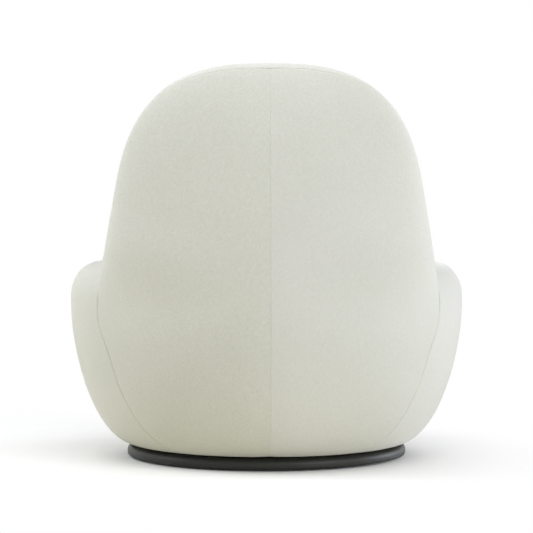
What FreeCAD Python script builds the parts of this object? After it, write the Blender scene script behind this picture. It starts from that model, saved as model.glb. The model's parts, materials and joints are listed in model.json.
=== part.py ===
import FreeCAD, Part

import math
import os

# Swivel lounge chair, millimetres. The origin is on the floor on the swivel axis,
# +Z is up, the sitter faces -Y and the tall back stands at +Y.

# Outline of the upholstered body
crest_height = 839.0
belly_radius = 421.0
belly_height = 320.0
underside_height = 28.5
underside_tuck = 124.0
bowl_rise_power = 1.6
bowl_tuck_power = 1.8

# Seam surface that parts the outside back from the arms and the inside back
outside_back_depth = 196.0
lean_start_height = 352.0
lean_run = 96.0
lean_slope = 0.25

# Dome of the outside back
back_taper_slope = 0.18
back_taper_run = 96.0
dome_round_drop = 279.0
outline_fall_power = 3.1
outline_end_power = 2.8
bulge_fall_power = 2.0
bulge_end_power = 1.5
crest_flat = 2.0
dome_level_count = 19
turn_shares = (0, 0.15, 0.32, 0.64, 1)

# Inside back, with a wing to each side that runs down into the arm
pad_depth = 70.0
wing_reach = 37.0
pad_foot_setback = 9.0
wing_rise = 125.0
pad_round_drop = 219.0
pad_round_power = 2.3
wing_nose_share = 0.25

# Arms and front apron, one ring round the seat well
arm_height = 425.0
apron_height = 250.0
arm_thickness = 150.0
arm_shoulder_reach = 70.0
arm_shoulder_drop = 86.0
apron_shoulder_reach = 40.0
apron_shoulder_drop = 45.0
sweep_start_angle = 95.0
sweep_end_angle = 150.0
arm_rear_angle = 33.0
arm_front_angle = 140.0
arm_section_count = 13
apron_section_count = 11

# Seat cushion
seat_height = 402.0
seat_crown = 30.0
seat_clearance = 5.0
seat_nose_radius = 421.0
seat_side_angle = 100.0
seat_nose_angle = 158.0
seat_room_lead_angle = 15.0
seat_flank_share = 0.55
seat_side_shares = ((0, 0.955), (0.1, 0.985), (0.35, 1), (0.7, 1), (0.9, 0.985))
seat_crown_shares = (0.94, 0.85, 0.7, 0.5, 0.25)

# Layers and fits
cover_thickness = 1.5
layer_gap = 0.5
padding_thickness = 15.0
liner_thickness = 4.0
seat_gap = 0.3
seam_gap = 0.3
running_clearance = 0.05
soft_clearance = 3.0
overrun = 60.0
shell_margin = 20.0

# Plinth that stays still on the floor
base_radius = 300.0
base_height = 26.0
base_wall = 2.0
base_bevel_width = 11.0
base_bevel_drop = 9.0
base_foot_round = 4.0
base_lift = 1.0
ballast_thickness = 6.0
glide_radius = 16.0
glide_height = 5.0
glide_setback = 55.0
glide_count = 6
base_screw_setback = 95.0

# Swivel bearing
ball_circle_radius = 100.0
ball_radius = 6.0
plate_border = 50.0
plate_thickness = 5.0
ball_count = 16
groove_depth = 2.0
cage_half_width = 15.0
cage_thickness = 2.5
cage_clearance = 0.3
pin_radius = 8.0
pin_head_overhang = 10.0
pin_head_height = 3.5
washer_overhang = 9.0
washer_thickness = 2.5
nut_wall = 5.0
nut_height = 8.0
nut_room = 12.0
lower_screw_outset = 27.0
upper_bolt_inset = 30.0
plate_screw_count = 6

# Screws
screw_radius = 3.0
screw_head_overhang = 3.0
screw_head_height = 3.0
screw_bite = 12.0

# Wooden frame
board_thickness = 18.0
bottom_ring_setback = 7.0
bottom_ring_width = 90.0
bottom_ring_thickness = 13.7
bottom_board_overhang = 17.0
dust_cover_thickness = 1.0
dust_cover_width = 98.0
turn_under_reach = 39.0
upright_board_overhang = 3.0
arm_board_rear_angle = 61.0
arm_board_front_angle = 116.0
arm_core_drop = 100.0
apron_core_drop = 62.0
gusset_thickness = 15.0
arm_gusset_count = 4
front_gusset_count = 7
frame_border = 55.0
rib_border = 45.0
lower_rib_height = 200.0
middle_rib_height = 400.0
upper_rib_height = 600.0

# Seat suspension
seat_ring_clearance = 3.0
seat_ring_width = 46.0
seat_ring_height = 188.0
post_radius = 17.0
post_count = 8
spring_wire_radius = 2.0
spring_half_width = 22.0
spring_pitch = 17.0
spring_spacing = 82.0
spring_count = 5
clip_width = 30.0
clip_depth = 12.0
clip_height = 9.0
spring_room = 12.0
strap_thickness = 2.0
strap_width = 50.0
strap_count = 5
strap_first_height = 290.0
strap_top_border = 82.4
upright_strap_spread = 95.0

# Radii that follow from the round body and the bearing
seam_offset = belly_radius - outside_back_depth
underside_radius = belly_radius - underside_tuck
bottom_ring_radius = underside_radius - bottom_ring_setback
bottom_ring_inner_radius = bottom_ring_radius - bottom_ring_width
bottom_board_radius = underside_radius + bottom_board_overhang
turn_under_radius = underside_radius - turn_under_reach
dust_cover_inner_radius = turn_under_radius - dust_cover_width
upright_board_radius = underside_radius + upright_board_overhang
well_radius = belly_radius - arm_thickness
pad_foot_half_width = well_radius - pad_foot_setback
seat_ring_radius = well_radius - seat_ring_clearance
seat_ring_inner_radius = seat_ring_radius - seat_ring_width
post_circle_radius = (seat_ring_radius + seat_ring_inner_radius) / 2
glide_circle_radius = base_radius - glide_setback
base_screw_circle_radius = base_radius - base_screw_setback
plate_radius = ball_circle_radius + plate_border
lower_screw_circle_radius = ball_circle_radius + lower_screw_outset
upper_bolt_circle_radius = ball_circle_radius - upper_bolt_inset
pin_head_radius = pin_radius + pin_head_overhang
washer_radius = pin_radius + washer_overhang
nut_flat_radius = pin_radius + nut_wall
screw_head_radius = screw_radius + screw_head_overhang

# Heights that follow from the stack of pieces
round_start_height = crest_height - dome_round_drop
pad_round_height = crest_height - pad_round_drop
wing_full_height = arm_height
wing_start_height = wing_full_height - wing_rise
bottom_ring_foot = underside_height + cover_thickness + seat_gap
board_foot = bottom_ring_foot + bottom_ring_thickness
board_top = board_foot + board_thickness
layer_inset = cover_thickness + layer_gap
liner_inset = layer_inset + padding_thickness + seat_gap
core_inset = liner_inset + liner_thickness + seat_gap
seam_bend_height = lean_start_height + lean_run / 2
frame_front = 2 * strap_thickness + 3 * seat_gap
frame_top = crest_height - core_inset - frame_border
strap_rise = frame_top - strap_top_border - strap_width - strap_first_height
strap_spacing = strap_rise / (strap_count - 1)
deck_foot = seat_ring_height + spring_room
deck_top = apron_height - cover_thickness
cushion_foot = apron_height + seat_gap
lower_plate_top = base_height + plate_thickness
ball_height = lower_plate_top - groove_depth + ball_radius
upper_plate_foot = board_foot - plate_thickness
core_foot = glide_height + ballast_thickness
core_radius = base_radius - base_bevel_width - base_wall - seat_gap
seam_gap_angle = math.degrees(seam_gap / belly_radius)
board_gap_angle = math.degrees(seat_gap / upright_board_radius)
SQRT_HALF = math.sqrt(0.5)


def vec(x, y, z):
    return FreeCAD.Vector(x, y, z)


def between(a, b, share):
    return a + (b - a) * share


def clamp(value):
    return min(max(value, 0.0), 1.0)


def smooth_step(value):
    t = clamp(value)
    return t * t * (3 - 2 * t)


def ramp(distance, run):
    """A straight rise that starts with a smooth bend as long as the run."""
    if distance <= 0:
        return 0.0
    if distance < run:
        return distance * distance / (2 * run)
    return distance - run / 2


def save(name, shape):
    shape.exportStep("parts/" + name + ".step")
    print(name, len(shape.Solids), "solids", round(shape.Volume / 1000), "cm3", shape.isValid())


def line(a, b):
    return Part.LineSegment(a, b).toShape()


def arc(a, middle, b):
    return Part.Arc(a, middle, b).toShape()


def polygon_wire(points):
    return Part.makePolygon(points + [points[0]])


def loft(wires, degree=5):
    solid = Part.makeLoft(wires, True, False, False, degree)
    if solid.Volume < 0:
        solid.reverse()
    return solid


def solids_of(shape):
    """The shape's solids as one compound, without loose faces."""
    return Part.makeCompound([solid for solid in shape.Solids])


def revolved(points):
    """Turn an outline of (radius, height) points about the swivel axis."""
    face = Part.Face(polygon_wire([vec(r, 0, z) for r, z in points]))
    return face.revolve(vec(0, 0, 0), vec(0, 0, 1), 360)


def tube(outer, inner, foot, top):
    return revolved([(inner, foot), (outer, foot), (outer, top), (inner, top)])


def rod(radius, foot, top, x=0.0, y=0.0):
    return Part.makeCylinder(radius, top - foot, vec(x, y, foot))


def box(x1, x2, y1, y2, z1, z2):
    return Part.makeBox(x2 - x1, y2 - y1, z2 - z1, vec(x1, y1, z1))


def around(radius, count, first=0.0):
    """Places on a circle, as angles from +Y towards +X."""
    places = []
    for i in range(count):
        angle = math.radians(first + 360.0 * i / count)
        places.append((radius * math.sin(angle), radius * math.cos(angle)))
    return places


def mirrored(shape):
    return shape.mirror(vec(0, 0, 0), vec(1, 0, 0))


# Outline functions


def bowl_radius(z, inset=0.0):
    """Radius of the round lower body, drawn in towards the underside."""
    fall = clamp((belly_height - z) / (belly_height - underside_height - inset))
    fullness = (1 - fall ** bowl_rise_power) ** (1 / bowl_tuck_power)
    return belly_radius - inset - underside_tuck * (1 - fullness)


def seam_y(z):
    return seam_offset + lean_slope * ramp(z - lean_start_height, lean_run)


def seam_bend_y(z):
    """The seam surface as two flat stretches, upright and leaning."""
    return seam_offset + lean_slope * max(0.0, z - seam_bend_height)


def back_half_width(z, inset=0.0):
    if z <= belly_height:
        return math.sqrt(bowl_radius(z, inset) ** 2 - seam_offset ** 2)
    width = math.sqrt((belly_radius - inset) ** 2 - seam_offset ** 2)
    width -= back_taper_slope * ramp(z - belly_height, back_taper_run)
    rise = clamp((z - round_start_height) / (crest_height - inset - round_start_height))
    return width * (1 - rise ** outline_fall_power) ** (1 / outline_end_power)


def back_bulge(z, inset=0.0):
    """How far the outside back stands behind the seam surface."""
    if z <= belly_height:
        return bowl_radius(z, inset) - seam_offset
    rise = clamp((z - belly_height) / (crest_height - inset - belly_height))
    fullness = (1 - rise ** bulge_fall_power) ** (1 / bulge_end_power)
    crest_y = seam_y(crest_height)
    return crest_y + (belly_radius - inset - crest_y) * fullness - seam_y(z)


def back_point(z, turn, inset=0.0):
    """Point of the outside back: turn 0 is the side seam, turn 1 the centre seam."""
    width = back_half_width(z, inset)
    bulge = back_bulge(z, inset)
    radius = (width * width + bulge * bulge) / (2 * bulge)
    edge = math.asin(width / radius)
    round_x = radius * math.sin(edge * (1 - turn))
    round_y = radius * math.cos(edge * (1 - turn)) - radius + bulge
    oval_x = width * math.cos(turn * math.pi / 2)
    oval_y = bulge * math.sin(turn * math.pi / 2)
    blend = smooth_step((z - belly_height) / (round_start_height - belly_height))
    x = round_x + (oval_x - round_x) * blend
    return vec(x, seam_y(z) + round_y + (oval_y - round_y) * blend, z)


def side_swapped(point):
    return vec(-point.x, point.y, point.z)


def dome_levels(inset, foot=None):
    """Slice heights that crowd towards the underside and the crest."""
    low = underside_height + inset if foot is None else foot
    high = crest_height - inset - crest_flat
    middle = belly_height
    levels = []
    half = dome_level_count // 2
    for i in range(half):
        levels.append(low + (middle - low) * (1 - math.cos(math.pi / 2 * i / half)))
    for i in range(dome_level_count):
        levels.append(middle + (high - middle) * math.sin(math.pi / 2 * i / (dome_level_count - 1)))
    return levels


def back_slice(z, inset, front=0.0):
    """Outline of the outside back at one height, closed at a distance ahead of the seam."""
    right = [back_point(z, share, inset) for share in turn_shares]
    left = [side_swapped(point) for point in right]
    edges = [arc(right[0], right[1], right[2]), arc(right[2], right[3], right[4])]
    edges += [arc(left[4], left[3], left[2]), arc(left[2], left[1], left[0])]
    if front == 0:
        return Part.Wire(edges + [line(left[0], right[0])])
    ahead = vec(0, -front, 0)
    edges.append(line(left[0], left[0] + ahead))
    edges.append(line(left[0] + ahead, right[0] + ahead))
    edges.append(line(right[0] + ahead, right[0]))
    return Part.Wire(edges)


def back_solid(inset, foot=None, front=0.0):
    return loft([back_slice(z, inset, front) for z in dome_levels(inset, foot)])


def back_shell(inset, thickness):
    """Layer of the outside back, open at the seam surface."""
    outer = back_solid(inset, None, shell_margin)
    inner = back_solid(inset + thickness, None, 2 * shell_margin)
    return outer.cut(inner).common(room_behind(-seam_gap / 2))


def pad_half_width(z, inset):
    if z >= wing_full_height:
        return back_half_width(z, inset)
    foot = pad_foot_half_width - inset
    spread = smooth_step((z - wing_start_height) / (wing_full_height - wing_start_height))
    return foot + (back_half_width(z, inset) - foot) * spread


def pad_fullness(z, inset):
    rise = clamp((z - pad_round_height) / (crest_height - inset - pad_round_height))
    return (1 - rise ** pad_round_power) ** (1 / pad_round_power)


def pad_slice(z, inset):
    """Outline of the inside back at one height: flat rear, round wings, hollow front."""
    width = pad_half_width(z, inset)
    seam = seam_y(z)
    rear = seam + shell_margin
    full = pad_fullness(z, inset)
    hollow = seam - (pad_depth - inset) * full
    reach = hollow - wing_reach * full
    inner = width - wing_nose_share * width
    bend = vec(between(inner, width, SQRT_HALF), between(seam, reach, SQRT_HALF), z)
    edges = [line(vec(-width, rear, z), vec(width, rear, z))]
    edges.append(line(vec(width, rear, z), vec(width, seam, z)))
    edges.append(arc(vec(width, seam, z), bend, vec(inner, reach, z)))
    edges.append(arc(vec(inner, reach, z), vec(0, hollow, z), vec(-inner, reach, z)))
    edges.append(arc(vec(-inner, reach, z), side_swapped(bend), vec(-width, seam, z)))
    edges.append(line(vec(-width, seam, z), vec(-width, rear, z)))
    return Part.Wire(edges)


def pad_solid(inset):
    """Inside back with a straight stretch behind the seam surface, to be cut off there."""
    return loft([pad_slice(z, inset) for z in dome_levels(inset, deck_foot + inset)])


# Ring of arms and apron


def ring_sweep(angle):
    return smooth_step((angle - sweep_start_angle) / (sweep_end_angle - sweep_start_angle))


def ring_section(angle, inset):
    """Upright section of the ring, at an angle from the middle of the back."""
    sweep = ring_sweep(min(angle, 360 - angle))
    top = between(arm_height, apron_height, sweep) - inset
    reach = between(arm_shoulder_reach, apron_shoulder_reach, sweep) - inset
    drop = between(arm_shoulder_drop, apron_shoulder_drop, sweep) - inset
    foot = underside_height + inset
    shoulder = top - drop
    wall_points = 7
    outline = []
    for i in range(wall_points):
        turn = math.pi / 2 * i / (wall_points - 1)
        z = between(foot, shoulder, 1 - math.cos(turn))
        outline.append((bowl_radius(z, inset), z))
    outer = outline[-1][0]
    inner = well_radius + inset
    corner_share = 1 - SQRT_HALF
    outline.append((outer - reach * corner_share, top - drop * corner_share))
    outline.append((outer - reach, top))
    outline.append((inner + reach, top))
    outline.append((inner + reach * corner_share, top - drop * corner_share))
    outline.append((inner, shoulder))
    outline.append((inner, foot))
    side = math.sin(math.radians(angle))
    ahead = math.cos(math.radians(angle))
    p = [vec(r * side, r * ahead, z) for r, z in outline]
    edges = [arc(p[0], p[1], p[2]), arc(p[2], p[3], p[4]), arc(p[4], p[5], p[6])]
    edges += [arc(p[6], p[7], p[8]), line(p[8], p[9]), arc(p[9], p[10], p[11])]
    edges += [line(p[11], p[12]), line(p[12], p[0])]
    return Part.Wire(edges)


def ring_solid(first, last, count, inset):
    step = (last - first) / (count - 1)
    return loft([ring_section(first + step * i, inset) for i in range(count)])


def wall_core(first, last, top):
    """Room for the frame inside the ring: an upright sector from the boards to the liner."""
    inner = upright_board_radius - board_thickness - seat_gap
    levels = 8
    outline = [(inner, board_top), (inner, top)]
    for i in range(levels + 1):
        z = between(top, board_top, i / levels)
        outline.append((bowl_radius(z, liner_inset - seat_gap), z))
    return sector(outline, first, last)


def sector(outline, first, last):
    """Turn an outline from one angle to another, both from the middle of the back."""
    wire = polygon_wire([vec(0, r, z) for r, z in outline])
    wire.rotate(vec(0, 0, 0), vec(0, 0, 1), -first)
    return Part.Face(wire).revolve(vec(0, 0, 0), vec(0, 0, -1), last - first)


def liner_sector(first, last, top):
    levels = 8
    outline = []
    for i in range(levels + 1):
        z = between(board_top, top, i / levels)
        outline.append((bowl_radius(z, liner_inset), z))
    for i in range(levels + 1):
        z = between(top, board_top, i / levels)
        outline.append((bowl_radius(z, liner_inset + liner_thickness), z))
    return sector(outline, first, last)


def gussets(angles, top):
    """Radial ribs that stand between the upright board and the liner."""
    levels = 8
    outline = [(upright_board_radius, board_top), (upright_board_radius, top)]
    for i in range(levels + 1):
        z = between(top, board_top, i / levels)
        outline.append((bowl_radius(z, core_inset), z))
    pieces = []
    for angle in angles:
        face = Part.Face(polygon_wire([vec(-gusset_thickness / 2, r, z) for r, z in outline]))
        piece = face.extrude(vec(gusset_thickness, 0, 0))
        piece.rotate(vec(0, 0, 0), vec(0, 0, 1), -angle)
        pieces.append(piece)
    return Part.makeCompound(pieces)


# Plinth


def make_base_cover():
    edge = base_radius - base_bevel_width
    lip = base_radius - base_foot_round
    thin = base_wall
    outline = [(pin_radius + running_clearance, base_height), (edge, base_height)]
    outline += [(base_radius, base_height - base_bevel_drop), (base_radius, base_lift + base_foot_round)]
    outline += [(lip, base_lift), (lip - thin, base_lift)]
    outline += [(base_radius - thin, base_lift + base_foot_round + thin / 2)]
    outline += [(base_radius - thin, base_height - base_bevel_drop - thin / 2)]
    outline += [(edge - thin / 2, base_height - thin), (pin_radius + running_clearance, base_height - thin)]
    cover = revolved(outline)
    for x, y in around(lower_screw_circle_radius, plate_screw_count):
        cover = cover.cut(rod(screw_radius + running_clearance, 0, base_height + overrun, x, y))
    save("base_cover", cover)


def make_base_core():
    core = tube(core_radius, pin_radius + running_clearance, core_foot, base_height - base_wall)
    for x, y in around(lower_screw_circle_radius, plate_screw_count):
        core = core.cut(rod(screw_radius + running_clearance, core_foot, base_height + overrun, x, y))
    for x, y in around(base_screw_circle_radius, glide_count):
        core = core.cut(rod(screw_radius + running_clearance, 0, core_foot + screw_bite - seat_gap, x, y))
    save("base_core", core)


def make_base_ballast():
    ballast = tube(core_radius, pin_radius + running_clearance, glide_height, core_foot)
    for x, y in around(base_screw_circle_radius, glide_count):
        ballast = ballast.cut(rod(screw_radius + running_clearance, 0, core_foot + overrun, x, y))
    save("base_ballast", ballast)


def screw(x, y, seat, tip):
    """Pan head screw whose head rests on the seat height and whose shank runs to the tip."""
    up = tip > seat
    head_end = seat - screw_head_height if up else seat + screw_head_height
    head = rod(screw_head_radius, min(seat, head_end), max(seat, head_end), x, y)
    shank = rod(screw_radius, min(seat, tip), max(seat, tip), x, y)
    return head.fuse(shank).removeSplitter()


def make_base_fixings():
    glides = [rod(glide_radius, 0, glide_height, x, y)
              for x, y in around(glide_circle_radius, glide_count, 180.0 / glide_count)]
    save("floor_glides", Part.makeCompound(glides))
    tip = core_foot + screw_bite - seat_gap
    screws = [screw(x, y, glide_height, tip - seat_gap)
              for x, y in around(base_screw_circle_radius, glide_count)]
    save("base_screws", Part.makeCompound(screws))


# Swivel bearing


def groove():
    ring = Part.makeTorus(ball_circle_radius, ball_radius + running_clearance, vec(0, 0, ball_height))
    return ring


def make_swivel_plates():
    lower = tube(plate_radius, pin_radius + running_clearance, base_height, lower_plate_top)
    for x, y in around(lower_screw_circle_radius, plate_screw_count):
        lower = lower.cut(rod(screw_radius + running_clearance, 0, lower_plate_top + overrun, x, y))
    save("swivel_lower_plate", lower.cut(groove()))
    upper = tube(plate_radius, pin_radius + running_clearance, upper_plate_foot, board_foot)
    for x, y in around(upper_bolt_circle_radius, plate_screw_count):
        upper = upper.cut(rod(screw_radius + running_clearance, 0, board_foot + overrun, x, y))
    save("swivel_upper_plate", upper.cut(groove()))


def make_ball_cage():
    half = cage_thickness / 2
    cage = tube(ball_circle_radius + cage_half_width, ball_circle_radius - cage_half_width,
                ball_height - half, ball_height + half)
    places = around(ball_circle_radius, ball_count)
    for x, y in places:
        cage = cage.cut(rod(ball_radius + cage_clearance, 0, ball_height + overrun, x, y))
    save("swivel_ball_cage", cage)
    balls = [Part.makeSphere(ball_radius, vec(x, y, ball_height)) for x, y in places]
    save("swivel_balls", Part.makeCompound(balls))


def make_swivel_pin():
    washer_foot = board_foot + seat_gap
    nut_foot = washer_foot + washer_thickness
    nut_top = nut_foot + nut_height
    pin_top = nut_top + screw_head_height
    pin = rod(pin_head_radius, glide_height - pin_head_height, glide_height)
    pin = pin.fuse(rod(pin_radius, glide_height, pin_top)).removeSplitter()
    save("swivel_centre_pin", pin)
    save("swivel_washer", tube(washer_radius, pin_radius + running_clearance, washer_foot, nut_foot))
    corners = around(nut_flat_radius / math.cos(math.pi / 6), 6)
    outline = polygon_wire([vec(x, y, nut_foot) for x, y in corners])
    nut = Part.Face(outline).extrude(vec(0, 0, nut_height))
    save("swivel_lock_nut", nut.cut(rod(pin_radius + running_clearance, 0, pin_top + overrun)))


def make_swivel_fixings():
    lower_tip = core_foot + seat_gap
    lower = [screw(x, y, lower_plate_top, lower_tip)
             for x, y in around(lower_screw_circle_radius, plate_screw_count)]
    save("swivel_base_screws", Part.makeCompound(lower))
    upper = [screw(x, y, upper_plate_foot, board_foot + screw_bite)
             for x, y in around(upper_bolt_circle_radius, plate_screw_count)]
    save("swivel_seat_bolts", Part.makeCompound(upper))


# Bottom of the seat body


def seat_stations():
    """Places of the posts under the seat ring, those behind the seam surface left out."""
    places = around(post_circle_radius, post_count, 180.0 / post_count)
    room = seam_offset - post_radius - seat_gap
    return [(x, min(y, room)) for x, y in places]


def make_bottom():
    ring = tube(bottom_ring_radius, bottom_ring_inner_radius, bottom_ring_foot, board_foot)
    board = tube(bottom_board_radius, washer_radius + nut_room, board_foot, board_top)
    middle = (bottom_ring_radius + bottom_ring_inner_radius) / 2
    ring_screws = around(middle, post_count)
    reach = board_foot + screw_bite
    for x, y in ring_screws:
        head = rod(screw_head_radius + seat_gap, 0, bottom_ring_foot + screw_head_height, x, y)
        shank = rod(screw_radius + running_clearance, 0, reach, x, y)
        ring = ring.cut(head.fuse(shank))
        board = board.cut(shank)
    for x, y in around(upper_bolt_circle_radius, plate_screw_count):
        board = board.cut(rod(screw_radius + running_clearance, 0, reach, x, y))
    save("bottom_ring", ring)
    save("bottom_board", board)
    seat = bottom_ring_foot + screw_head_height
    screws = [screw(x, y, seat, reach) for x, y in ring_screws]
    save("bottom_screws", Part.makeCompound(screws))
    save("dust_cover", tube(turn_under_radius - seat_gap, dust_cover_inner_radius,
                            bottom_ring_foot - dust_cover_thickness, bottom_ring_foot))


def bottom_cutter():
    """Room that the bottom ring, the bottom board and the turned-under opening take."""
    low = rod(bottom_ring_radius + seat_gap, bottom_ring_foot - seat_gap, board_foot + seat_gap)
    high = rod(bottom_board_radius + seat_gap, board_foot - seat_gap, board_top + seat_gap)
    return low.fuse(high)


# Wooden frame


def seam_slab(front, back, foot, top, left, right):
    """Bent board between two distances behind the seam surface and between two heights."""
    heights = [foot, top]
    if foot < seam_bend_height < top:
        heights = [foot, seam_bend_height, top]
    outline = [vec(left, seam_bend_y(z) + front, z) for z in heights]
    outline += [vec(left, seam_bend_y(z) + back, z) for z in reversed(heights)]
    return Part.Face(polygon_wire(outline)).extrude(vec(right - left, 0, 0))


def room_behind(gap):
    """Everything behind the seam surface, drawn ahead by a gap, with room to spare."""
    side = belly_radius + overrun
    return seam_slab(-gap, 2 * belly_radius, -overrun, crest_height + overrun, -side, side)


def levels_between(foot, top, count):
    return [between(foot, top, i / (count - 1)) for i in range(count)]


def make_back_frame():
    """Bent board just behind the seam surface, with the webbing's room ahead of it."""
    side = belly_radius
    board = seam_slab(frame_front, frame_front + board_thickness, board_top, frame_top, -side, side)
    opening = back_solid(core_inset + frame_border, board_top + frame_border, shell_margin)
    save("back_frame", solids_of(board.common(back_solid(core_inset)).cut(opening)))


def rib(height, core, stay_room):
    slab = box(-belly_radius, belly_radius, 0, 2 * belly_radius, height, height + board_thickness)
    hollow_levels = levels_between(height - overrun / 2, height + board_thickness + overrun / 2, 3)
    hollow = loft([back_slice(z, core_inset + rib_border) for z in hollow_levels])
    return solids_of(core.common(slab).cut(hollow).cut(stay_room))


def make_back_ribs():
    foot = board_top
    front = frame_front + board_thickness + seat_gap
    core = back_solid(core_inset, foot).common(room_behind(-front))
    half = board_thickness / 2
    stay_slab = box(-half, half, 0, 2 * belly_radius, foot, upper_rib_height + board_thickness)
    stay_room = box(-half - seat_gap, half + seat_gap, 0, 2 * belly_radius, foot, crest_height)
    hollow = back_solid(core_inset + rib_border, foot + rib_border)
    save("back_centre_stay", solids_of(core.common(stay_slab).cut(hollow)))
    heights = {"back_lower_rib": lower_rib_height, "back_middle_rib": middle_rib_height,
               "back_upper_rib": upper_rib_height}
    for name, height in heights.items():
        save(name, rib(height, core, stay_room))


def make_ring_frame():
    arm_top = arm_height - arm_core_drop
    apron_top = apron_height - apron_core_drop
    inner = upright_board_radius - board_thickness
    board = [(inner, board_top), (upright_board_radius, board_top)]
    arm_outline = board + [(upright_board_radius, arm_top), (inner, arm_top)]
    apron_outline = board + [(upright_board_radius, apron_top), (inner, apron_top)]
    first, last = arm_board_rear_angle, arm_board_front_angle
    step = math.degrees(gusset_thickness / upright_board_radius)
    arm_angles = levels_between(first + step, last - step, arm_gusset_count)
    pieces = {"arm_board": sector(arm_outline, first, last),
              "arm_liner": liner_sector(first, last, arm_top),
              "arm_gussets": gussets(arm_angles, arm_top)}
    for name, piece in pieces.items():
        save(name + "_right", mirrored(piece))
        save(name + "_left", piece)
    start, end = last + step / 4, 360 - last - step / 4
    save("front_board", sector(apron_outline, start, end))
    save("front_liner", liner_sector(start, end, apron_top))
    front_angles = levels_between(start + step, end - step, front_gusset_count)
    save("front_gussets", gussets(front_angles, apron_top))


# Seat suspension


def make_seat_frame():
    ring = tube(seat_ring_radius, seat_ring_inner_radius, seat_ring_height - board_thickness,
                seat_ring_height)
    behind = box(-belly_radius, belly_radius, seam_offset - seat_gap, belly_radius, 0, crest_height)
    save("seat_ring", solids_of(ring.cut(behind)))
    top = seat_ring_height - board_thickness
    posts = [rod(post_radius, board_top, top, x, y) for x, y in seat_stations()]
    save("seat_posts", Part.makeCompound(posts))


def spring_run(x):
    """Centres of the clips at the front and rear of one spring."""
    radius = (seat_ring_radius + seat_ring_inner_radius) / 2
    front = -math.sqrt(radius * radius - x * x)
    rear = min(-front, seam_offset - clip_depth)
    return front, rear


def spring(x):
    """Flat snake of wire: runs from side to side joined by half turns."""
    front, rear = spring_run(x)
    z = seat_ring_height + spring_wire_radius + seat_gap
    count = int((rear - front) / spring_pitch)
    start = (front + rear - count * spring_pitch) / 2
    turn = spring_pitch / 2
    side = spring_half_width - turn
    edges = []
    for i in range(count):
        y = start + i * spring_pitch
        way = 1 if i % 2 == 0 else -1
        edges.append(line(vec(x - way * side, y, z), vec(x + way * side, y, z)))
        edges.append(arc(vec(x + way * side, y, z), vec(x + way * (side + turn), y + turn, z),
                         vec(x + way * side, y + spring_pitch, z)))
    way = 1 if count % 2 == 0 else -1
    y = start + count * spring_pitch
    edges.append(line(vec(x - way * side, y, z), vec(x + way * side, y, z)))
    path = Part.Wire(edges)
    circle = Part.makeCircle(spring_wire_radius, vec(x - side, start, z), vec(1, 0, 0))
    return path.makePipeShell([Part.Wire([circle])], True, False)


def spring_clip(x, y):
    """Bracket over the end run of a spring, screwed to the ring, with a channel for the wire."""
    foot = seat_ring_height
    half = clip_width / 2
    block = box(x - half, x + half, y - clip_depth / 2, y + clip_depth / 2, foot, foot + clip_height)
    room = spring_wire_radius + running_clearance
    z = foot + spring_wire_radius + seat_gap
    slot = box(x - clip_width, x + clip_width, y - room, y + room, foot, z + room)
    return block.cut(slot)


def spring_places():
    middle = (spring_count - 1) / 2
    return [(i - middle) * spring_spacing for i in range(spring_count)]


def make_springs():
    springs = []
    clips = []
    for x in spring_places():
        springs.append(spring(x))
        front, rear = spring_run(x)
        count = int((rear - front) / spring_pitch)
        start = (front + rear - count * spring_pitch) / 2
        clips.append(spring_clip(x, start))
        clips.append(spring_clip(x, start + count * spring_pitch))
    save("seat_springs", Part.makeCompound(springs))
    save("spring_clips", Part.makeCompound(clips))


def make_deck(behind, pad_room):
    radius = well_radius - layer_gap
    pad = rod(radius, deck_foot, deck_top - seat_gap)
    cloth = rod(radius, deck_top, deck_top + cover_thickness)
    save("deck_pad", solids_of(pad.cut(behind).cut(pad_room)))
    save("deck_cover", solids_of(cloth.cut(behind).cut(pad_room)))


def make_webbing():
    """Straps stretched over the front of the back frame, the upright ones ahead."""
    rear = frame_front - seat_gap
    straps = []
    for i in range(strap_count):
        foot = strap_first_height + i * strap_spacing
        top = foot + strap_width
        side = min(back_half_width(foot, core_inset), back_half_width(top, core_inset))
        side -= frame_border / 2
        straps.append(seam_slab(rear - strap_thickness, rear, foot, top, -side, side))
    save("back_cross_straps", Part.makeCompound(straps))
    rear -= strap_thickness + seat_gap
    foot = board_top + frame_border / 2
    top = frame_top - frame_border / 2
    uprights = []
    for side in (-1, 0, 1):
        left = side * upright_strap_spread - strap_width / 2
        uprights.append(seam_slab(rear - strap_thickness, rear, foot, top, left, left + strap_width))
    save("back_upright_straps", Part.makeCompound(uprights))


# Soft layers and covers


def make_outside_back():
    clear = bottom_cutter()
    opening = rod(turn_under_radius, 0, board_top)
    skin = back_shell(0, cover_thickness).cut(clear).cut(opening)
    half_gap = seam_gap / 2
    left = box(half_gap, belly_radius + overrun, 0, 2 * belly_radius, 0, crest_height + overrun)
    save("outside_back_cover_left", solids_of(skin.common(left)))
    save("outside_back_cover_right", solids_of(skin.common(mirrored(left))))
    save("outside_back_padding", solids_of(back_shell(layer_inset, padding_thickness).cut(clear)))
    above = box(-belly_radius, belly_radius, 0, 2 * belly_radius, board_top, crest_height)
    save("outside_back_liner", solids_of(back_shell(liner_inset, liner_thickness).common(above)))


def make_inside_back():
    gap = seam_gap / 2
    outer = pad_solid(0).cut(room_behind(gap))
    room = pad_solid(cover_thickness).cut(room_behind(gap + cover_thickness))
    save("inside_back_cover", solids_of(outer.cut(room)))
    foam = pad_solid(layer_inset).cut(room_behind(gap + layer_inset))
    save("inside_back_foam", solids_of(foam))


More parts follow.
